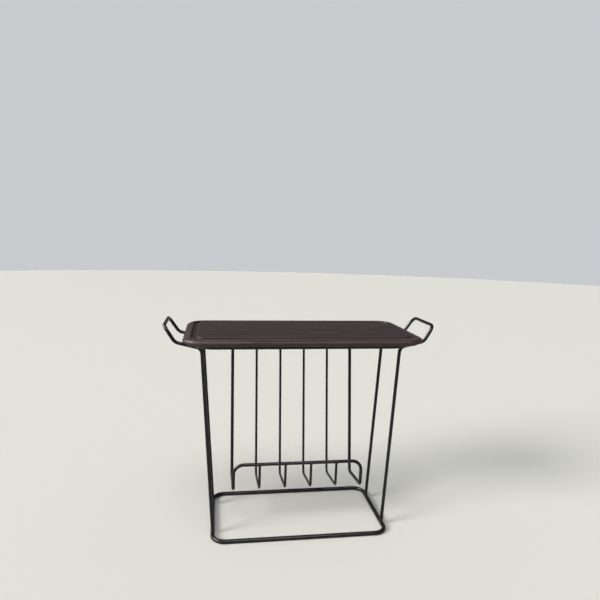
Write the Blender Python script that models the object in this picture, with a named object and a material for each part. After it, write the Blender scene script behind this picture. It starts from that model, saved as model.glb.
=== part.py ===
"""Tray-top magazine rack: a bent-rod steel frame with carry handles, a hanging magazine cradle
and a lift-off wooden tray.  Metres, +X to the right, -Y to the front, +Z up, floor at z = 0."""

import math

import bmesh
import bpy
from mathutils import Vector

MM = 0.001
GAP = 0.3 * MM          # clearance kept between pieces that touch

# Rod stock
BASE_ROD = 5.0 * MM     # radii
FRAME_ROD = 4.0 * MM
SLAT_ROD = 3.0 * MM
ROD_RESOLUTION = 4      # twelve-sided rods
BEND_STEP = math.radians(15)

# Base ring, measured on the rod's centre line
BASE_HALF_X = 204 * MM
BASE_HALF_Y = 117 * MM
BASE_CORNER = 30 * MM

# Top ring, which carries the tray
RING_HALF_X = 246 * MM
RING_HALF_Y = 122 * MM
RING_CORNER = 45 * MM
RING_Z = 452.5 * MM

# Side frames: two legs that run on outwards and up into a carry handle
LEG_Y = 70 * MM
LEG_TOP_X = 231 * MM
HANDLE_LOW = Vector((290.0, 0, 455.0)) * MM
HANDLE_TOP = Vector((314.0, 0, 491.5)) * MM
HANDLE_LOW_Y = 70 * MM
HANDLE_TOP_Y = 65.5 * MM
LEG_BEND = 16 * MM
HANDLE_LOW_BEND = 21 * MM
HANDLE_TOP_BEND = 18 * MM

# Magazine cradle: centre lines of its side view, as (y, z)
CRADLE_HALF_X = 156 * MM
CRADLE_BAYS = 5
CRADLE_BACK_FOOT = (71 * MM, 76 * MM)
CRADLE_FRONT_FOOT = (-38 * MM, 90.5 * MM)
LIP_TOP = (-42 * MM, 152 * MM)
CRADLE_FOOT_BEND = 10 * MM
LIP_CORNER = 24 * MM

# Tray: the ring lies in a wide shallow rebate between the raised underside panel and the lip
TRAY_HALF_X = 272 * MM
TRAY_HALF_Y = 144 * MM
TRAY_CORNER = 46 * MM
TRAY_CORNER_STEPS = 9
PANEL_CLEARANCE = 6 * MM        # between the panel and the ring round it
PANEL_DROP = 3.3 * MM
PANEL_CHAMFER = 1.0 * MM

# Lip, bevel, nose, rim, channel and field of the tray: (inset from the edge, height above the seat)
TRAY_PROFILE_MM = (
    (15.0, 0.0), (14.2, -1.0), (11.0, -1.0),
    (2.4, 4.2), (0.6, 6.2), (0.0, 8.0), (0.3, 9.6), (1.4, 11.6), (3.6, 13.6), (6.6, 15.1),
    (10.0, 15.9), (13.5, 16.1), (16.4, 15.9), (17.7, 15.0),
    (18.4, 13.2), (19.4, 12.5), (29.0, 12.5), (30.0, 13.2),
    (30.6, 16.2), (31.1, 17.0), (32.2, 17.3),
)


def clear_scene():
    for obj in list(bpy.data.objects):
        bpy.data.objects.remove(obj, do_unlink=True)


def make_material(name, colour, roughness, metallic):
    material = bpy.data.materials.new(name)
    material.use_nodes = True
    shader = material.node_tree.nodes["Principled BSDF"]
    shader.inputs["Base Color"].default_value = (*colour, 1.0)
    shader.inputs["Roughness"].default_value = roughness
    shader.inputs["Metallic"].default_value = metallic
    material.diffuse_color = (*colour, 1.0)
    return material


def bend(before, corner, after, radius):
    """Points of the arc that rounds one corner of a rod, tangent to both of its legs."""
    to_before = (before - corner).normalized()
    to_after = (after - corner).normalized()
    turn = math.pi - to_before.angle(to_after)
    reach = radius * math.tan(turn / 2)
    centre = corner + (to_before + to_after).normalized() * (radius / math.cos(turn / 2))
    start = corner + to_before * reach - centre
    across = (-to_before) * radius
    steps = max(2, round(turn / BEND_STEP))
    return [centre + start * math.cos(turn * i / steps) + across * math.sin(turn * i / steps)
            for i in range(steps + 1)]


def bent_path(corners, radii):
    """Open centre line: straight runs between the corners, each inner corner rounded."""
    points = [corners[0]]
    for before, corner, after, radius in zip(corners, corners[1:], corners[2:], radii):
        points += bend(before, corner, after, radius)
    return points + [corners[-1]]


def rounded_rectangle(half_x, half_y, radius, z, steps):
    points = []
    for quarter, (side_x, side_y) in enumerate(((1, 1), (-1, 1), (-1, -1), (1, -1))):
        for i in range(steps + 1):
            angle = (quarter + i / steps) * math.pi / 2
            points.append(Vector((side_x * (half_x - radius) + radius * math.cos(angle),
                                  side_y * (half_y - radius) + radius * math.sin(angle), z)))
    return points


def make_rod(name, points, radius, material, closed=False):
    curve = bpy.data.curves.new(name, "CURVE")
    curve.dimensions = "3D"
    curve.bevel_depth = radius
    curve.bevel_resolution = ROD_RESOLUTION
    curve.use_fill_caps = not closed
    spline = curve.splines.new("POLY")
    spline.points.add(len(points) - 1)
    for spline_point, point in zip(spline.points, points):
        spline_point.co = (*point, 1.0)
    spline.use_cyclic_u = closed
    spline.use_smooth = True
    rod = bpy.data.objects.new(name, curve)
    rod.data.materials.append(material)
    bpy.context.scene.collection.objects.link(rod)
    return rod


def ring_steps():
    return round(math.pi / 2 / BEND_STEP)


def make_base_ring(material):
    loop = rounded_rectangle(BASE_HALF_X, BASE_HALF_Y, BASE_CORNER, BASE_ROD, ring_steps())
    return make_rod("base_ring", loop, BASE_ROD, material, closed=True)


def make_top_ring(material):
    loop = rounded_rectangle(RING_HALF_X, RING_HALF_Y, RING_CORNER, RING_Z, ring_steps())
    return make_rod("top_ring", loop, FRAME_ROD, material, closed=True)


def make_side_frame(name, side, material):
    """One bent rod: front leg, carry handle, rear leg.  side is -1 on the left, +1 on the right."""
    under_ring_z = RING_Z - 2 * FRAME_ROD - GAP
    run_slope = (HANDLE_LOW.z - under_ring_z) / (HANDLE_LOW.x - RING_HALF_X)
    leg_top_z = under_ring_z - run_slope * (RING_HALF_X - LEG_TOP_X)
    leg_slope = (LEG_TOP_X - BASE_HALF_X) / leg_top_z
    foot_z = 2 * BASE_ROD + GAP + FRAME_ROD * leg_slope
    front_half = [
        Vector((side * BASE_HALF_X, -LEG_Y, foot_z)),
        Vector((side * LEG_TOP_X, -LEG_Y, leg_top_z)),
        Vector((side * HANDLE_LOW.x, -HANDLE_LOW_Y, HANDLE_LOW.z)),
        Vector((side * HANDLE_TOP.x, -HANDLE_TOP_Y, HANDLE_TOP.z)),
    ]
    rear_half = [Vector((p.x, -p.y, p.z)) for p in reversed(front_half)]
    radii = [LEG_BEND, HANDLE_LOW_BEND, HANDLE_TOP_BEND]
    path = bent_path(front_half + rear_half, radii + radii[::-1])
    return make_rod(name, path, FRAME_ROD, material)


def cradle_top(rod_radius):
    """Upper end of a cradle rod's centre line, under the ring's rear rail, as (y, z)."""
    rail_bottom = RING_Z - FRAME_ROD
    lean = (RING_HALF_Y - CRADLE_BACK_FOOT[0]) / (rail_bottom - CRADLE_BACK_FOOT[1])
    return RING_HALF_Y, rail_bottom - GAP - rod_radius * lean


def make_cradle_outer(material):
    """The cradle's one-piece outline: down the back, forward, up, and across the lip."""
    right = [Vector((CRADLE_HALF_X, y, z)) for y, z in
             (cradle_top(FRAME_ROD), CRADLE_BACK_FOOT, CRADLE_FRONT_FOOT, LIP_TOP)]
    left = [Vector((-p.x, p.y, p.z)) for p in reversed(right)]
    radii = [CRADLE_FOOT_BEND, CRADLE_FOOT_BEND, LIP_CORNER]
    return make_rod("cradle_outer_wire", bent_path(right + left, radii + radii[::-1]),
                    FRAME_ROD, material)


def make_cradle_slat(index, material):
    """Inner cradle wire: down the back, forward, and up to the underside of the lip rail."""
    x = CRADLE_HALF_X * (2 * index / CRADLE_BAYS - 1)
    lean = (LIP_TOP[0] - CRADLE_FRONT_FOOT[0]) / (LIP_TOP[1] - CRADLE_FRONT_FOOT[1])
    drop = FRAME_ROD + GAP + SLAT_ROD * abs(lean)
    lip_end = (LIP_TOP[0] - lean * drop, LIP_TOP[1] - drop)
    corners = [Vector((x, y, z)) for y, z in
               (cradle_top(SLAT_ROD), CRADLE_BACK_FOOT, CRADLE_FRONT_FOOT, lip_end)]
    return make_rod(f"cradle_slat_{index}", bent_path(corners, [CRADLE_FOOT_BEND] * 2),
                    SLAT_ROD, material)


def tray_sections():
    """The tray's closed outlines from the underside panel outwards, over the rim, to the field."""
    seat_z = RING_Z + FRAME_ROD + GAP
    margin = FRAME_ROD + PANEL_CLEARANCE
    panel = (RING_HALF_X - margin, RING_HALF_Y - margin, RING_CORNER - margin)
    panel_heights = ((PANEL_CHAMFER, -PANEL_DROP), (0, PANEL_CHAMFER - PANEL_DROP), (0, 0))
    sections = [[size - inset for size in panel] + [seat_z + height]
                for inset, height in panel_heights]
    edge = (TRAY_HALF_X, TRAY_HALF_Y, TRAY_CORNER)
    sections += [[size - inset * MM for size in edge] + [seat_z + height * MM]
                 for inset, height in TRAY_PROFILE_MM]
    return sections


def make_tray(material):
    bm = bmesh.new()
    loops = []
    for half_x, half_y, radius, z in tray_sections():
        outline = rounded_rectangle(half_x, half_y, radius, z, TRAY_CORNER_STEPS)
        loops.append([bm.verts.new(point) for point in outline])
    for lower, upper in zip(loops, loops[1:]):
        for i in range(len(lower)):
            j = (i + 1) % len(lower)
            bm.faces.new((lower[i], lower[j], upper[j], upper[i]))
    bm.faces.new(loops[0][::-1])
    bm.faces.new(loops[-1])
    bmesh.ops.recalc_face_normals(bm, faces=bm.faces)
    mesh = bpy.data.meshes.new("tray")
    bm.to_mesh(mesh)
    bm.free()
    mesh.shade_smooth()
    mesh.set_sharp_from_angle(angle=math.radians(35))
    tray = bpy.data.objects.new("tray", mesh)
    tray.data.materials.append(material)
    bpy.context.scene.collection.objects.link(tray)
    return tray


def main():
    clear_scene()
    steel = make_material("black_powder_coat", (0.012, 0.013, 0.015), 0.42, 0.0)
    wood = make_material("dark_stained_wood", (0.062, 0.042, 0.040), 0.5, 0.0)
    make_base_ring(steel)
    make_side_frame("side_frame_left", -1, steel)
    make_side_frame("side_frame_right", 1, steel)
    make_top_ring(steel)
    make_cradle_outer(steel)
    for index in range(1, CRADLE_BAYS):
        make_cradle_slat(index, steel)
    make_tray(wood)


main()
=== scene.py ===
"""Looks of the tray-top magazine rack: finely bent rods with their weld beads, a routed wooden
tray, powder coat and stained wood, and a plain studio.  Metres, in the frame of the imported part:
+X to the right handle, -Y to the front, +Z up, floor at z = 0."""

import math

import bmesh
import bpy
from mathutils import Matrix, Vector, noise


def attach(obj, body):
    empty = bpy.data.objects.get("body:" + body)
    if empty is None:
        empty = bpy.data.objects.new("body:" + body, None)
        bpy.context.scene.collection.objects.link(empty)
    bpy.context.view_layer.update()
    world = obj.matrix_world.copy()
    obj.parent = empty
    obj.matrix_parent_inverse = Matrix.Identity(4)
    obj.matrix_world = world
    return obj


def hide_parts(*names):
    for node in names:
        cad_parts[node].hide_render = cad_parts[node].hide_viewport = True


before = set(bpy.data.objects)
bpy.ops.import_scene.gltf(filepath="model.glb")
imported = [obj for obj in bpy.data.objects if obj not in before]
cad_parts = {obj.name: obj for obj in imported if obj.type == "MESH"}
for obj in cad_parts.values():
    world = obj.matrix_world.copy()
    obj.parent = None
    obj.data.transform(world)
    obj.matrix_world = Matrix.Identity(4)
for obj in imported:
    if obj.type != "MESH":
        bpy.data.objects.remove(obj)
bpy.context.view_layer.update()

MM = 0.001
GAP = 0.3 * MM          # clearance that the CAD pieces keep where they touch

# Rod stock and fineness of its bends
BASE_ROD = 5.0 * MM     # radii
FRAME_ROD = 4.0 * MM
SLAT_ROD = 3.0 * MM
ROD_SIDES = 28
BEND_STEP = math.radians(5)
EMBED = 2.5 * MM        # how far a welded rod end reaches into the rod that it stands on

# Centre lines of the two closed rings
BASE_HALF_X = 204 * MM
BASE_HALF_Y = 117 * MM
BASE_CORNER = 30 * MM
RING_HALF_X = 246 * MM
RING_HALF_Y = 122 * MM
RING_CORNER = 45 * MM
RING_Z = 452.5 * MM

# Side frames: two legs that run on outwards and up into a carry handle
LEG_Y = 70 * MM
LEG_TOP_X = 231 * MM
HANDLE_LOW_X = 290 * MM
HANDLE_LOW_Z = 455 * MM
HANDLE_TOP_X = 314 * MM
HANDLE_TOP_Z = 491.5 * MM
HANDLE_TOP_Y = 65.5 * MM
UNDER_RING_Z = RING_Z - 2 * FRAME_ROD - GAP
LEG_BEND = 16 * MM
HANDLE_LOW_BEND = 21 * MM
HANDLE_TOP_BEND = 18 * MM
HELD_FROM = 468 * MM    # the coat grows smoother from here up, where hands polish it
HELD_TO = 489 * MM      # and is smoothest from here up

# Magazine cradle: centre lines of its side view, as (y, z)
CRADLE_HALF_X = 156 * MM
CRADLE_BAYS = 5
CRADLE_TOP = (RING_HALF_Y, RING_Z - FRAME_ROD)
CRADLE_BACK_FOOT = (71 * MM, 76 * MM)
CRADLE_FRONT_FOOT = (-38 * MM, 90.5 * MM)
LIP_TOP = (-42 * MM, 152 * MM)
CRADLE_FOOT_BEND = 10 * MM
LIP_CORNER = 24 * MM

# Welds
BEAD = 2.2 * MM         # size of the fillets, see bead_leg
BEAD_SINK = 0.05 * MM   # how far a fillet's edges lie inside the rods' surfaces
BEAD_RISE = 1.15        # leg along the rod, as a part of the leg along the rail
BEAD_CROWN = 0.34       # bulge of its face, as a part of its leg
BEAD_ROOT = 0.5         # depth of its closed back inside the rods, as a part of its leg
BEAD_FACE_STEPS = 6
BEAD_STEPS = 78
PUDDLES = 13            # ripples in one bead round a rod
NOTCH_OFFSET = 3.2 * MM     # of a crossing's bead from the ring's centre line
NOTCH_LENGTH = 9 * MM
NOTCH_RADIUS = 1.9 * MM
NOTCH_STEPS = 18
NOTCH_SIDES = 12
SEAM_HALF_WIDTH = 2.4 * MM
SEAM_SWELL = 0.3 * MM   # growth of the rod's radius: on one side the seam stands out by twice this
SEAM_STEPS = 12

# Tray: outline, underside panel, and the section of its edge in millimetres
SEAT_Z = RING_Z + FRAME_ROD + GAP
TRAY_HALF = (272 * MM, 144 * MM)
TRAY_CORNER = 46 * MM
PANEL_HALF = (236 * MM, 112 * MM)
PANEL_CORNER = 35 * MM
PANEL_DROP = 3.3
CORNER_STEPS = 20
NOSE_HEIGHT = 8.0       # of the widest line, above the seat
CREST = (13.5, 16.1)    # inset and height
CREST_END = 15.9        # height at which the crest ends in the channel's wall
BEVEL_TOP = (2.4, 4.2)
BEVEL_FOOT = (11.0, -1.0)
LIP_INNER = 15.0
RIM_INNER = 17.3
CHANNEL_START = 18.9
CHANNEL_END = 30.0
CHANNEL_Z = 12.5
FIELD_Z = 17.3
LIP_BENDS = [0.35, 1.5]     # bend radii along the section
RIM_BENDS = [1.3, 1.0, 0.8, 0.8, 0.1]
PANEL_INSET = 6.0       # at which the underside panel's outlines start
PANEL_BEND = 1.0
UNDER_NOSE_STEPS = 8
OVER_NOSE_STEPS = 18
WORN_HIGHLIT_CREST = (11.0, 3.5)    # inset of its middle, and its half width; paler there, partly wear and partly painted highlight

# Colours, linear
COAT_DARK = (0.0045, 0.0048, 0.0055, 1)
COAT_PALE = (0.0085, 0.0090, 0.0098, 1)
COAT_PEEL = (0.013, 0.0135, 0.0145, 1)
COAT_SCUFFED = (0.060, 0.058, 0.054, 1)
STAIN_BY_TONE = (
    (0.34, (0.023, 0.013, 0.013)),
    (0.50, (0.046, 0.027, 0.027)),
    (0.62, (0.076, 0.048, 0.045)),
    (0.80, (0.118, 0.084, 0.072)),
)
STAIN_RED = (0.082, 0.042, 0.046, 1)
STAIN_OLIVE = (0.060, 0.047, 0.034, 1)
STAIN_IN_PORES = (0.014, 0.009, 0.009, 1)
# paler stain: wear, and a painted highlight on the crest and the field's edge
STAIN_WORN_AND_HIGHLIGHT = (0.160, 0.112, 0.112, 1)
# painted shade in the tray's channel, darkest on its walls
PAINTED_CHANNEL_SHADE = (0.017, 0.007, 0.010, 1)
# painted shade under the tray's nose
PAINTED_SHADE_UNDER_NOSE = (0.024, 0.012, 0.008, 1)
# painted shade on the tray's field
PAINTED_SHADE_ON_FIELD = (0.012, 0.007, 0.007, 1)
STAIN_BELOW = (0.140, 0.090, 0.060, 1)

# Studio
FLOOR_RADIUS = 9.3
FLOOR_SIDES = 96
AMBIENT = 0.26
AMBIENT_IN_GLOSS = 0.16
LAMP_DISTANCE = 3
CAMERA_PLACE = (-0.2005, -1.2941, 0.6954)
CAMERA_YAW = -0.1535
CAMERA_PITCH = -0.1155
CAMERA_ROLL = 0.0257
CAMERA_LENS = 32.85     # mm, on a sensor 36 mm wide


# ---------------------------------------------------------------- centre lines

def bend(before, corner, after, radius):
    """Points of the arc that rounds one corner of a path, tangent to both of its legs."""
    to_before = (before - corner).normalized()
    to_after = (after - corner).normalized()
    turn = math.pi - to_before.angle(to_after)
    reach = radius * math.tan(turn / 2)
    centre = corner + (to_before + to_after).normalized() * (radius / math.cos(turn / 2))
    start = corner + to_before * reach - centre
    across = (-to_before) * radius
    steps = max(3, round(turn / BEND_STEP))
    return [centre + start * math.cos(turn * i / steps) + across * math.sin(turn * i / steps)
            for i in range(steps + 1)]


def bent_path(corners, radii):
    """Open path: straight runs between the corners, each inner corner rounded."""
    points = [corners[0]]
    for before, corner, after, radius in zip(corners, corners[1:], corners[2:], radii):
        points += bend(before, corner, after, radius)
    return points + [corners[-1]]


def rounded_rectangle(half_x, half_y, radius, z, steps=CORNER_STEPS):
    points = []
    for quarter, (side_x, side_y) in enumerate(((1, 1), (-1, 1), (-1, -1), (1, -1))):
        for i in range(steps + 1):
            angle = (quarter + i / steps) * math.pi / 2
            points.append(Vector((side_x * (half_x - radius) + radius * math.cos(angle),
                                  side_y * (half_y - radius) + radius * math.sin(angle), z)))
    return points


def extended(path, start, end):
    """The open path with its first and last straight run made longer."""
    first = path[0] + (path[0] - path[1]).normalized() * start
    last = path[-1] + (path[-1] - path[-2]).normalized() * end
    return [first] + path[1:-1] + [last]


# ---------------------------------------------------------------- mesh makers

def finish_piece(name, bm, body, material, sharp_angle=40):
    """Turns a bmesh into a smooth-shaded piece that rides on a body."""
    bmesh.ops.recalc_face_normals(bm, faces=bm.faces)
    mesh = bpy.data.meshes.new(name)
    bm.to_mesh(mesh)
    bm.free()
    mesh.shade_smooth()
    mesh.set_sharp_from_angle(angle=math.radians(sharp_angle))
    piece = bpy.data.objects.new(name, mesh)
    mesh.materials.append(material)
    bpy.context.scene.collection.objects.link(piece)
    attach(piece, body)
    return piece


def path_tangents(path, closed):
    count = len(path)
    tangents = []
    for i in range(count):
        before = path[i - 1] if closed or i > 0 else path[i]
        after = path[(i + 1) % count] if closed or i < count - 1 else path[i]
        tangents.append((after - before).normalized())
    return tangents


def sweep(bm, path, radii, closed=False, sides=ROD_SIDES):
    """Round bar along a path.  radii holds its radius at each point of the path."""
    tangents = path_tangents(path, closed)
    side = tangents[0].orthogonal().normalized()
    rings = []
    for i, (point, tangent) in enumerate(zip(path, tangents)):
        if i > 0:
            side = tangents[i - 1].rotation_difference(tangent) @ side
        across = tangent.cross(side)
        angles = [2 * math.pi * k / sides for k in range(sides)]
        rings.append([bm.verts.new(point + (side * math.cos(a) + across * math.sin(a)) * radii[i])
                      for a in angles])
    pairs = list(zip(rings, rings[1:]))
    if closed:
        pairs.append((rings[-1], rings[0]))
    for ring, following in pairs:
        for k in range(sides):
            j = (k + 1) % sides
            bm.faces.new((ring[k], ring[j], following[j], following[k]))
    if not closed:
        bm.faces.new(rings[0][::-1])
        bm.faces.new(rings[-1])


# ---------------------------------------------------------------- rods

def rod(name, path, radius, material, radii=None, closed=False):
    """A piece of bent rod that stands for the CAD node of the same name."""
    bm = bmesh.new()
    sweep(bm, path, radii or [radius] * len(path), closed)
    piece = finish_piece(name + "_rod", bm, "frame", material)
    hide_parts(name)


def seamed_ring(name, path, radius, material, bulge):
    """Closed ring whose butt weld, ground almost flush, lies in the middle of its rear rail.
    bulge is 1 where the weld's swelling lies on top of the rod, and -1 where it lies below."""
    rear_y = max(point.y for point in path)
    start = next(i for i, p in enumerate(path) if p.y == rear_y and p.x > 0)
    places = [1 - 2 * i / SEAM_STEPS for i in range(SEAM_STEPS + 1)]
    swell = [SEAM_SWELL * math.cos(math.pi / 2 * place) ** 2 for place in places]
    seam = [Vector((SEAM_HALF_WIDTH * place, rear_y, path[0].z + bulge * s))
            for place, s in zip(places, swell)]
    full = path[:start + 1] + seam + path[start + 1:]
    radii = [radius] * (start + 1) + [radius + s for s in swell]
    radii += [radius] * (len(full) - len(radii))
    rod(name, full, radius, material, radii, closed=True)


def ring_steps():
    return round(math.pi / 2 / BEND_STEP)


def make_rings(material):
    base = rounded_rectangle(BASE_HALF_X, BASE_HALF_Y, BASE_CORNER, BASE_ROD, ring_steps())
    seamed_ring("base_ring", base, BASE_ROD, material, bulge=1)
    top = rounded_rectangle(RING_HALF_X, RING_HALF_Y, RING_CORNER, RING_Z, ring_steps())
    seamed_ring("top_ring", top, FRAME_ROD, material, bulge=-1)


def handle_run_slope():
    """Rise over run of the side frame where it passes under the top ring."""
    return (HANDLE_LOW_Z - UNDER_RING_Z) / (HANDLE_LOW_X - RING_HALF_X)


def leg_top(side):
    z = UNDER_RING_Z - handle_run_slope() * (RING_HALF_X - LEG_TOP_X)
    return Vector((side * LEG_TOP_X, -LEG_Y, z))


def leg_foot(side):
    return Vector((side * BASE_HALF_X, -LEG_Y, 2 * BASE_ROD))


def mirrored_y(point):
    return Vector((point.x, -point.y, point.z))


def mirrored_x(point):
    return Vector((-point.x, point.y, point.z))


def make_side_frame(name, side, material):
    front_half = [
        leg_foot(side),
        leg_top(side),
        Vector((side * HANDLE_LOW_X, -LEG_Y, HANDLE_LOW_Z)),
        Vector((side * HANDLE_TOP_X, -HANDLE_TOP_Y, HANDLE_TOP_Z)),
    ]
    rear_half = [mirrored_y(point) for point in reversed(front_half)]
    radii = [LEG_BEND, HANDLE_LOW_BEND, HANDLE_TOP_BEND]
    path = bent_path(front_half + rear_half, radii + radii[::-1])
    rod(name, extended(path, EMBED, EMBED), FRAME_ROD, material)


def cradle_corners(x, points):
    return [Vector((x, y, z)) for y, z in points]


def make_cradle_outer(material):
    right = cradle_corners(CRADLE_HALF_X,
                           (CRADLE_TOP, CRADLE_BACK_FOOT, CRADLE_FRONT_FOOT, LIP_TOP))
    left = [mirrored_x(point) for point in reversed(right)]
    radii = [CRADLE_FOOT_BEND, CRADLE_FOOT_BEND, LIP_CORNER]
    path = bent_path(right + left, radii + radii[::-1])
    rod("cradle_outer_wire", extended(path, EMBED, EMBED), FRAME_ROD, material)


def slat_places():
    return [CRADLE_HALF_X * (2 * index / CRADLE_BAYS - 1) for index in range(1, CRADLE_BAYS)]


def make_cradle_slats(material):
    for index, x in enumerate(slat_places(), start=1):
        corners = cradle_corners(x, (CRADLE_TOP, CRADLE_BACK_FOOT, CRADLE_FRONT_FOOT, LIP_TOP))
        path = bent_path(corners, [CRADLE_FOOT_BEND] * 2)
        rod(f"cradle_slat_{index}", extended(path, EMBED, -EMBED), SLAT_ROD, material)


# ---------------------------------------------------------------- welds

def ripple(step, steps, seed):
    """Bead thickness at one place: small overlapping puddles, softened by the powder coat."""
    turn = 2 * math.pi * step / steps
    wave = abs(math.sin(PUDDLES * turn / 2 + seed))
    drift = noise.noise(Vector((1.6 * math.cos(turn), 1.6 * math.sin(turn), 7.3 * seed)))
    return 0.92 + 0.07 * wave + 0.22 * drift


def on_cylinder(point, axis_point, along, radius):
    """The nearest point of a cylinder's surface, and the surface's normal there."""
    offset = point - axis_point
    offset -= along * offset.dot(along)
    normal = offset.normalized()
    return point - offset + normal * radius, normal


def bead_leg(rod_radius):
    """A fillet's leg along the rail: 1.54 mm on a slat and 1.61 mm on a frame rod."""
    return BEAD * (0.6 + 0.1 * rod_radius / SLAT_ROD)


def weld_round(bm, end, away, radius, rail_point, rail_along, rail_radius, seed):
    """Fillet round the end of a rod that stands on the side of a rail.  away points from the
    rail along the rod; the fillet follows the curve where the two surfaces meet."""
    side = away.orthogonal().normalized()
    across = away.cross(side)
    away_off = away - rail_along * away.dot(rail_along)
    a = away_off.length_squared
    sections = []
    for i in range(BEAD_STEPS):
        angle = 2 * math.pi * i / BEAD_STEPS
        outward = side * math.cos(angle) + across * math.sin(angle)
        start_off = end + outward * radius - rail_point
        start_off -= rail_along * start_off.dot(rail_along)
        b = start_off.dot(away_off)
        c = start_off.length_squared - rail_radius ** 2
        reach = (-b + math.sqrt(max(b * b - a * c, 0.0))) / a
        meeting = end + outward * radius + away * reach
        from_rail = (start_off + away_off * reach).normalized()
        leg = bead_leg(radius) * ripple(i, BEAD_STEPS, seed)
        upper = meeting + away * leg * BEAD_RISE
        slope = (outward - from_rail * outward.dot(from_rail)).normalized()
        lower, lower_normal = on_cylinder(meeting + slope * leg, rail_point, rail_along, rail_radius)
        face = (outward + from_rail).normalized()
        crown = (upper + lower) / 2 + face * leg * BEAD_CROWN
        upper -= outward * BEAD_SINK
        lower -= lower_normal * BEAD_SINK
        section = [upper * (1 - t) ** 2 + crown * 2 * t * (1 - t) + lower * t ** 2
                   for t in (k / BEAD_FACE_STEPS for k in range(BEAD_FACE_STEPS + 1))]
        sections.append(section + [meeting - face * leg * BEAD_ROOT])
    loft_ring(bm, sections)


def loft_ring(bm, sections):
    """Closed skin through equal closed sections that run round in a ring."""
    rings = [[bm.verts.new(point) for point in section] for section in sections]
    for ring, following in zip(rings, rings[1:] + rings[:1]):
        for k in range(len(ring)):
            j = (k + 1) % len(ring)
            bm.faces.new((ring[k], ring[j], following[j], following[k]))


def weld_notch(bm, centre, along, seed):
    """Short bead, tapered at both ends, in the notch between two rods that cross."""
    path = []
    radii = []
    for i in range(NOTCH_STEPS + 1):
        u = i / NOTCH_STEPS
        path.append(centre + along * NOTCH_LENGTH * (u - 0.5))
        radii.append(NOTCH_RADIUS * (0.25 + 0.75 * math.sqrt(math.sin(math.pi * u)))
                     * ripple(i, 3 * NOTCH_STEPS, seed))
    sweep(bm, path, radii, sides=NOTCH_SIDES)


def make_foot_welds(material):
    bm = bmesh.new()
    for number, (side, mirror) in enumerate(((-1, False), (-1, True), (1, False), (1, True))):
        foot, top = leg_foot(side), leg_top(side)
        if mirror:
            foot, top = mirrored_y(foot), mirrored_y(top)
        rail = Vector((foot.x, foot.y, BASE_ROD))
        weld_round(bm, foot, (top - foot).normalized(), FRAME_ROD, rail, Vector((0, 1, 0)),
                   BASE_ROD, number)
    finish_piece("foot_welds", bm, "frame", material)


def make_handle_welds(material):
    """Two beads at each crossing of a side frame under the top ring, inside and outside it."""
    bm = bmesh.new()
    ring_bottom = RING_Z - math.sqrt(FRAME_ROD ** 2 - NOTCH_OFFSET ** 2)
    for number, (side, y) in enumerate(((-1, -LEG_Y), (-1, LEG_Y), (1, -LEG_Y), (1, LEG_Y))):
        for way in (-1, 1):
            x = side * (RING_HALF_X + way * NOTCH_OFFSET)
            run_top = UNDER_RING_Z + FRAME_ROD + way * NOTCH_OFFSET * handle_run_slope()
            middle = Vector((x, y, (run_top + ring_bottom) / 2))
            weld_notch(bm, middle, Vector((0, 1, 0)), number + way * 0.5)
    finish_piece("handle_welds", bm, "frame", material)


def make_cradle_welds(material):
    """Beads round the six upper wire ends, under the ring's rear rail."""
    bm = bmesh.new()
    rail = Vector((0, RING_HALF_Y, RING_Z))
    foot = Vector((0, *CRADLE_BACK_FOOT))
    top = Vector((0, *CRADLE_TOP))
    away = (foot - top).normalized()
    ends = [(x, SLAT_ROD) for x in slat_places()]
    ends += [(-CRADLE_HALF_X, FRAME_ROD), (CRADLE_HALF_X, FRAME_ROD)]
    for number, (x, radius) in enumerate(ends):
        place = Vector((x, 0, 0))
        weld_round(bm, top + place, away, radius, rail + place, Vector((1, 0, 0)),
                   FRAME_ROD, number + 0.3)
    finish_piece("cradle_welds", bm, "frame", material)


def make_lip_welds(material):
    """Beads round the four slat ends, under the lip rail."""
    bm = bmesh.new()
    lip = Vector((0, *LIP_TOP))
    away = (Vector((0, *CRADLE_FRONT_FOOT)) - lip).normalized()
    for number, x in enumerate(slat_places()):
        place = lip + Vector((x, 0, 0))
        weld_round(bm, place, away, SLAT_ROD, place, Vector((1, 0, 0)), FRAME_ROD, number + 0.7)
    finish_piece("lip_welds", bm, "frame", material)


# ---------------------------------------------------------------- tray

def flat(inset, height):
    return Vector((inset, 0, height))


def edge_section():
    """Section of the tray's edge from the seat, round the nose and over the rim, to the field,
    as (inset from the edge, height above the seat) in millimetres."""
    lip = bent_path([flat(LIP_INNER, 0), flat(LIP_INNER - 0.7, BEVEL_FOOT[1]), flat(*BEVEL_FOOT),
                     flat(*BEVEL_TOP)], LIP_BENDS)
    control = flat(0, BEVEL_TOP[1] + (BEVEL_TOP[1] - BEVEL_FOOT[1])
                   * BEVEL_TOP[0] / (BEVEL_FOOT[0] - BEVEL_TOP[0]))
    widest = flat(0, NOSE_HEIGHT)
    under_nose = [flat(*BEVEL_TOP) * (1 - t) ** 2 + control * 2 * t * (1 - t) + widest * t ** 2
                  for t in (i / UNDER_NOSE_STEPS for i in range(1, UNDER_NOSE_STEPS))]
    over_nose = [flat(CREST[0] * (1 - math.cos(angle)),
                      NOSE_HEIGHT + (CREST[1] - NOSE_HEIGHT) * math.sin(angle))
                 for angle in (math.pi / 2 * i / OVER_NOSE_STEPS for i in range(OVER_NOSE_STEPS))]
    rim_to_field = bent_path([flat(*CREST), flat(RIM_INNER, CREST_END),
                              flat(CHANNEL_START, CHANNEL_Z),
                              flat(CHANNEL_END, CHANNEL_Z), flat(CHANNEL_END + 0.9, FIELD_Z),
                              flat(CHANNEL_END + 3.0, FIELD_Z), flat(CHANNEL_END + 4.5, FIELD_Z)],
                             RIM_BENDS)
    return [(p.x, p.z) for p in lip + under_nose + over_nose + rim_to_field]


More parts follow.
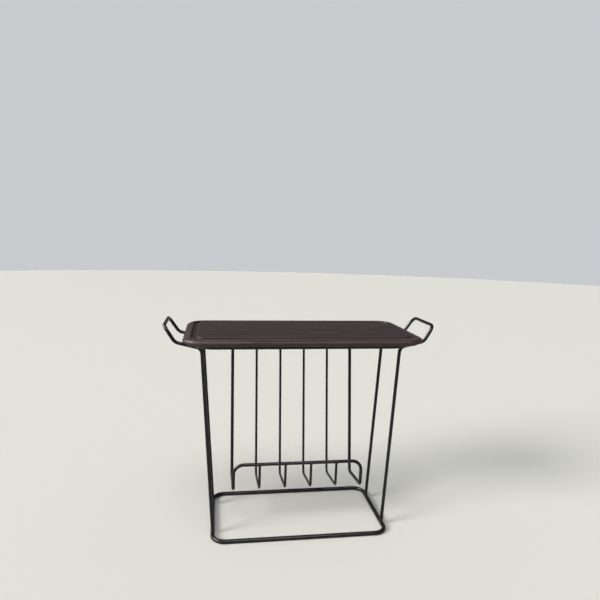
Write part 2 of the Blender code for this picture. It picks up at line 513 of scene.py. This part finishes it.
def wear_highlight_shade_at(inset, height):
    """How the stain is painted: 1 on the field's edge and 0.55 on the crest, paler from wear and a
    painted highlight, and below 0 down in the channel, painted shade, most of all on its walls."""
    if RIM_INNER < inset < CHANNEL_END + 0.8 and height < FIELD_Z - 1.8:
        on_floor = RIM_INNER + 2.2 < inset < CHANNEL_END - 0.6
        return -0.6 if on_floor else -1.0
    middle, half_width = WORN_HIGHLIT_CREST
    crest = math.exp(-((inset - middle) / half_width) ** 2) * (height > NOSE_HEIGHT)
    field_edge = float(inset > CHANNEL_END and FIELD_Z - 0.9 < height and inset < CHANNEL_END + 2.5)
    return max(0.55 * crest, field_edge)


def tray_outlines():
    """Every closed outline of the tray from the underside panel to the field, with its wear, painted
    highlight and painted shade.
    """
    panel = bent_path([flat(PANEL_INSET, -PANEL_DROP), flat(0, -PANEL_DROP), flat(0, 0)],
                      [PANEL_BEND])
    sections = [(PANEL_HALF, PANEL_CORNER, p.x, p.z, 0.0) for p in panel]
    sections += [(TRAY_HALF, TRAY_CORNER, inset, height, wear_highlight_shade_at(inset, height))
                 for inset, height in edge_section()]
    return [(rounded_rectangle(half[0] - inset * MM, half[1] - inset * MM, corner - inset * MM,
                               SEAT_Z + height * MM), wear_highlight_shade)
            for half, corner, inset, height, wear_highlight_shade in sections]


def make_tray(material):
    bm = bmesh.new()
    # per vertex: wear and painted highlight above 0, painted shade in the channel below 0
    wear_highlight_shade_layer = bm.verts.layers.float.new("wear_highlight_shade")
    loops = []
    for outline, wear_highlight_shade in tray_outlines():
        loops.append([bm.verts.new(point) for point in outline])
        for vertex in loops[-1]:
            vertex[wear_highlight_shade_layer] = wear_highlight_shade
    for lower, upper in zip(loops, loops[1:]):
        for i in range(len(lower)):
            j = (i + 1) % len(lower)
            bm.faces.new((lower[i], lower[j], upper[j], upper[i]))
    bm.faces.new(loops[0][::-1])
    bm.faces.new(loops[-1])
    tray = finish_piece("tray_board", bm, "tray", material, sharp_angle=60)
    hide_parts("tray")


# ---------------------------------------------------------------- materials

def new_material(name):
    material = bpy.data.materials.new(name)
    material.use_nodes = True
    tree = material.node_tree
    return material, tree, tree.nodes["Principled BSDF"]


def add_node(tree, kind, settings=None, **inputs):
    """Adds a node.  An input takes a number, a colour or another node's output."""
    node = tree.nodes.new("ShaderNode" + kind)
    for name, value in (settings or {}).items():
        setattr(node, name, value)
    for name, value in inputs.items():
        connect(tree, node.inputs[name.replace("_", " ")], value)
    return node


def connect(tree, socket, value):
    if isinstance(value, bpy.types.NodeSocket):
        tree.links.new(value, socket)
    else:
        socket.default_value = value


def calculate(tree, operation, first, second):
    node = add_node(tree, "Math", {"operation": operation})
    connect(tree, node.inputs[0], first)
    connect(tree, node.inputs[1], second)
    return node.outputs[0]


def remap(tree, value, low, high, to_low, to_high):
    node = add_node(tree, "MapRange", Value=value, From_Min=low, From_Max=high,
                    To_Min=to_low, To_Max=to_high)
    return node.outputs["Result"]


def noise_node(tree, place, scale, detail, roughness=0.5):
    """Noise with its own scale along each axis, in cycles per metre."""
    mapping = add_node(tree, "Mapping", Vector=place, Scale=scale)
    return add_node(tree, "TexNoise", Vector=mapping.outputs[0], Scale=1.0, Detail=detail,
                    Roughness=roughness)


def stretched_noise(tree, place, scale, detail, roughness=0.5):
    return noise_node(tree, place, scale, detail, roughness).outputs["Fac"]


def mix_colour(tree, factor, first, second):
    node = add_node(tree, "Mix", {"data_type": "RGBA"})
    connect(tree, node.inputs["Factor"], factor)
    connect(tree, node.inputs["A"], first)
    connect(tree, node.inputs["B"], second)
    return node.outputs["Result"]


def shifted(tree, place, texture, amount):
    """The place moved across the grain by a texture, in metres."""
    node = add_node(tree, "VectorMath", {"operation": "MULTIPLY_ADD"})
    connect(tree, node.inputs[0], texture.outputs["Color"])
    node.inputs[1].default_value = (0, amount, amount)
    connect(tree, node.inputs[2], place)
    return node.outputs[0]


def ring_shade(tree, phase):
    """A year's growth: slowly darker early wood, a narrow dark line, and pale again."""
    slow = remap(tree, phase, 0.0, 0.78, 0.0, 1.0)
    back = remap(tree, phase, 0.86, 1.0, 1.0, 0.0)
    return calculate(tree, "MULTIPLY", calculate(tree, "POWER", slow, 1.6), back)


def colour_ramp(tree, factor, stops):
    node = add_node(tree, "ValToRGB", Fac=factor)
    ramp = node.color_ramp
    ramp.elements[0].position, ramp.elements[0].color = stops[0][0], (*stops[0][1], 1)
    ramp.elements[1].position, ramp.elements[1].color = stops[-1][0], (*stops[-1][1], 1)
    for position, colour in stops[1:-1]:
        ramp.elements.new(position).color = (*colour, 1)
    return node.outputs["Color"]


def powder_coat():
    """Satin black powder coat: orange peel, a faint cloudiness, handling marks and floor scuffs."""
    material, tree, shader = new_material("black_powder_coat")
    place = add_node(tree, "TexCoord").outputs["Object"]
    height = add_node(tree, "SeparateXYZ", Vector=place).outputs["Z"]
    clouds = stretched_noise(tree, place, (28, 28, 28), 3.0)
    peel = stretched_noise(tree, place, (650, 650, 650), 2.0, 0.55)
    grit = stretched_noise(tree, place, (2600, 2600, 2600), 1.0)
    scuffs = stretched_noise(tree, place, (140, 140, 420), 5.0, 0.7)
    near_floor = remap(tree, height, 0.0, 3.5 * MM, 1.0, 0.0)
    scuffed = calculate(tree, "MULTIPLY", near_floor, remap(tree, scuffs, 0.5, 0.62, 0.0, 1.0))
    held = remap(tree, height, HELD_FROM, HELD_TO, 0.0, 1.0)
    coat = mix_colour(tree, clouds, COAT_DARK, COAT_PALE)
    coat = mix_colour(tree, remap(tree, peel, 0.35, 0.7, 0.0, 0.35), coat, COAT_PEEL)
    coat = mix_colour(tree, scuffed, coat, COAT_SCUFFED)
    connect(tree, shader.inputs["Base Color"], coat)
    rough = remap(tree, clouds, 0.3, 0.7, 0.25, 0.33)
    rough = calculate(tree, "SUBTRACT", rough, calculate(tree, "MULTIPLY", held, 0.06))
    rough = calculate(tree, "ADD", rough, calculate(tree, "MULTIPLY", scuffed, 0.2))
    connect(tree, shader.inputs["Roughness"], rough)
    shader.inputs["Specular IOR Level"].default_value = 0.24
    relief = calculate(tree, "ADD", peel, calculate(tree, "MULTIPLY", grit, 0.25))
    bump = add_node(tree, "Bump", Strength=0.35, Distance=0.12 * MM, Height=relief)
    connect(tree, shader.inputs["Normal"], bump.outputs["Normal"])
    return material


def wood_grain(tree, place):
    """The place moved off the straight grain, in slow bends and in small wavers on top of them."""
    drift = noise_node(tree, place, (2.2, 7, 7), 1.0)
    waver = noise_node(tree, place, (14, 45, 45), 2.0)
    return shifted(tree, shifted(tree, place, drift, 0.050), waver, 0.0035)


def growth_rings(tree, grain):
    """Darkness of the year rings, where the board's plane cuts them at a small angle."""
    place = add_node(tree, "Mapping", Vector=grain, Location=(0, -0.030, -0.32),
                     Rotation=(0, 0.030, 0.008)).outputs[0]
    kind = {"wave_type": "RINGS", "rings_direction": "X", "wave_profile": "SAW"}
    return ring_shade(tree, add_node(tree, "TexWave", kind, Vector=place,
                                     Scale=58.0).outputs["Fac"])


def grain_colour(tree, grain, bands, fibres, pore_depth):
    """Stain over the grain: its tone by rings, bands and fibres, patches of hue, dark pores."""
    tone = calculate(tree, "ADD", calculate(tree, "MULTIPLY", growth_rings(tree, grain), -0.17),
                     calculate(tree, "MULTIPLY", bands, 0.85))
    tone = calculate(tree, "ADD", tone, calculate(tree, "MULTIPLY", fibres, 0.30))
    hue = stretched_noise(tree, grain, (4, 38, 38), 3.0)
    colour = colour_ramp(tree, tone, STAIN_BY_TONE)
    colour = mix_colour(tree, remap(tree, hue, 0.50, 0.66, 0.0, 0.55), colour, STAIN_RED)
    colour = mix_colour(tree, remap(tree, hue, 0.34, 0.48, 0.45, 0.0), colour, STAIN_OLIVE)
    in_pores = remap(tree, pore_depth, 0, 1, 0.0, 0.65)
    return mix_colour(tree, in_pores, colour, STAIN_IN_PORES)


def wear_and_painted_light_colour(tree, colour, wear_highlight_shade, bands):
    """Paler where wear has thinned the stain, unevenly, with a painted highlight on the crest and
    the field's edge, and darker in the channel, where shade is painted.
    """
    worn = calculate(tree, "MULTIPLY", remap(tree, wear_highlight_shade, 0.0, 1.0, 0.0, 1.0),
                     remap(tree, bands, 0.3, 0.6, 0.35, 1.0))
    # paler stain: wear, and a painted highlight
    colour = mix_colour(tree, calculate(tree, "MULTIPLY", worn, 0.6), colour, STAIN_WORN_AND_HIGHLIGHT)
    # painted shade in the channel
    return mix_colour(tree, remap(tree, wear_highlight_shade, -1.0, 0.0, 0.9, 0.0), colour, PAINTED_CHANNEL_SHADE)


def above_seat(height):
    """Height above the floor, in metres, of a height above the seat in millimetres."""
    return SEAT_Z + height * MM


def colour_by_height(tree, colour, height, under_nose, wear_highlight_shade):
    """Painted shade under the nose and on the field, least on the field's worn, highlit edge; paler
    below.
    """
    # painted shade under the nose
    colour = mix_colour(tree, calculate(tree, "MULTIPLY", under_nose, 0.75), colour,
                        PAINTED_SHADE_UNDER_NOSE)
    # painted shade on the field, less on its highlit edge
    painted_field_shade = remap(tree, height, above_seat(FIELD_Z - 0.6), above_seat(FIELD_Z - 0.1), 0.0, 0.30)
    unworn = remap(tree, wear_highlight_shade, 0.0, 1.0, 1.0, 0.3)
    colour = mix_colour(tree, calculate(tree, "MULTIPLY", painted_field_shade, unworn), colour,
                        PAINTED_SHADE_ON_FIELD)
    underside = remap(tree, height, above_seat(-0.5), above_seat(2.5), 0.5, 0.0)
    return mix_colour(tree, underside, colour, STAIN_BELOW)


def stained_wood():
    """Plain-sawn board with its grain along X under a dark purple-brown stain and satin lacquer."""
    material, tree, shader = new_material("dark_stained_wood")
    place = add_node(tree, "TexCoord").outputs["Object"]
    height = add_node(tree, "SeparateXYZ", Vector=place).outputs["Z"]
    wear_highlight_shade = add_node(tree, "Attribute", {"attribute_name": "wear_highlight_shade"}).outputs["Fac"]
    grain = wood_grain(tree, place)
    bands = stretched_noise(tree, grain, (4, 60, 60), 4.0, 0.55)
    fibres = stretched_noise(tree, grain, (22, 900, 900), 3.0, 0.6)
    pores = stretched_noise(tree, grain, (75, 1500, 1500), 2.0)
    pore_depth = remap(tree, pores, 0.60, 0.72, 0.0, 1.0)
    # the band below the nose: painted shade there, and a duller finish
    under_nose = remap(tree, height, above_seat(4), above_seat(NOSE_HEIGHT + 1.5), 1.0, 0.0)

    colour = grain_colour(tree, grain, bands, fibres, pore_depth)
    colour = wear_and_painted_light_colour(tree, colour, wear_highlight_shade, bands)
    colour = colour_by_height(tree, colour, height, under_nose, wear_highlight_shade)
    connect(tree, shader.inputs["Base Color"], colour)
    rough = remap(tree, fibres, 0.3, 0.7, 0.42, 0.52)
    rough = calculate(tree, "ADD", rough, calculate(tree, "MULTIPLY", pore_depth, 0.15))
    rough = calculate(tree, "ADD", rough, calculate(tree, "MULTIPLY", under_nose, 0.35))
    connect(tree, shader.inputs["Roughness"], rough)
    shader.inputs["Specular IOR Level"].default_value = 0.25
    relief = calculate(tree, "SUBTRACT", calculate(tree, "MULTIPLY", fibres, 0.5), pore_depth)
    bump = add_node(tree, "Bump", Strength=0.5, Distance=0.15 * MM, Height=relief)
    connect(tree, shader.inputs["Normal"], bump.outputs["Normal"])
    return material


# ---------------------------------------------------------------- studio

def make_floor():
    """Plain pale floor, seen from above only."""
    bm = bmesh.new()
    bmesh.ops.create_circle(bm, cap_ends=True, segments=FLOOR_SIDES, radius=FLOOR_RADIUS)
    mesh = bpy.data.meshes.new("floor")
    bm.to_mesh(mesh)
    bm.free()
    floor = bpy.data.objects.new("floor", mesh)
    bpy.context.scene.collection.objects.link(floor)
    material, tree, shader = new_material("pale_floor")
    shader.inputs["Base Color"].default_value = (0.80, 0.795, 0.745, 1)
    shader.inputs["Roughness"].default_value = 0.8
    shader.inputs["Specular IOR Level"].default_value = 0.04
    see_through = add_node(tree, "BsdfTransparent")
    below = add_node(tree, "NewGeometry").outputs["Backfacing"]
    both = add_node(tree, "MixShader", Fac=below)
    connect(tree, both.inputs[1], shader.outputs[0])
    connect(tree, both.inputs[2], see_through.outputs[0])
    connect(tree, tree.nodes["Material Output"].inputs["Surface"], both.outputs[0])
    mesh.materials.append(material)


def make_world():
    """Pale grey surroundings: what the camera sees of them is lighter than the light they give."""
    world = bpy.data.worlds.new("studio")
    world.use_nodes = True
    tree = world.node_tree
    ambient = tree.nodes["Background"]
    ambient.inputs["Color"].default_value = (0.93, 0.96, 1.0, 1)
    path = add_node(tree, "LightPath")
    connect(tree, ambient.inputs["Strength"],
            remap(tree, path.outputs["Is Glossy Ray"], 0, 1, AMBIENT, AMBIENT_IN_GLOSS))
    backdrop = add_node(tree, "Background", Color=(0.58, 0.60, 0.62, 1), Strength=1.0)
    both = add_node(tree, "MixShader", Fac=path.outputs["Is Camera Ray"])
    connect(tree, both.inputs[1], ambient.outputs[0])
    connect(tree, both.inputs[2], backdrop.outputs[0])
    connect(tree, tree.nodes["World Output"].inputs["Surface"], both.outputs[0])
    bpy.context.scene.world = world


def make_light(name, azimuth, elevation, spread, strength, colour, gloss_only=False):
    """Soft light from far away.  azimuth is 0 on the left and 90 in front, in degrees."""
    light = bpy.data.lights.new(name, "SUN")
    light.energy = strength
    light.angle = math.radians(spread)
    light.color = colour
    lamp = bpy.data.objects.new(name, light)
    turn, rise = math.radians(azimuth), math.radians(elevation)
    towards = Vector((-math.cos(turn) * math.cos(rise), -math.sin(turn) * math.cos(rise),
                      math.sin(rise)))
    lamp.location = towards * LAMP_DISTANCE
    lamp.rotation_euler = towards.to_track_quat("Z", "Y").to_euler()
    lamp.visible_diffuse = not gloss_only
    bpy.context.scene.collection.objects.link(lamp)


def make_lights():
    make_light("key", 22, 27, 25, 3.1, (1.0, 0.985, 0.96))
    make_light("top", 75, 66, 36, 0.9, (1.0, 0.99, 0.97))
    make_light("window_gleam", -12, 38, 32, 5.8, (0.95, 0.96, 1.0), gloss_only=True)
    make_light("ceiling_gleam", 100, 52, 14, 1.3, (0.96, 0.98, 1.0), gloss_only=True)


def make_camera():
    camera = bpy.data.cameras.new("camera")
    camera.sensor_width = 36
    camera.lens = CAMERA_LENS
    camera.clip_start = 0.05
    camera.clip_end = 60
    place = Matrix.Translation(CAMERA_PLACE)
    turn = (Matrix.Rotation(CAMERA_YAW, 4, "Z")
            @ Matrix.Rotation(math.pi / 2 + CAMERA_PITCH, 4, "X")
            @ Matrix.Rotation(CAMERA_ROLL, 4, "Z"))
    viewpoint = bpy.data.objects.new("camera", camera)
    viewpoint.matrix_world = place @ turn
    bpy.context.scene.collection.objects.link(viewpoint)
    bpy.context.scene.camera = viewpoint


def main():
    steel = powder_coat()
    wood = stained_wood()
    make_rings(steel)
    make_side_frame("side_frame_left", -1, steel)
    make_side_frame("side_frame_right", 1, steel)
    make_cradle_outer(steel)
    make_cradle_slats(steel)
    make_foot_welds(steel)
    make_handle_welds(steel)
    make_cradle_welds(steel)
    make_lip_welds(steel)
    make_tray(wood)
    make_floor()
    make_world()
    make_lights()
    make_camera()
    bpy.context.scene.view_settings.view_transform = "Standard"


main()
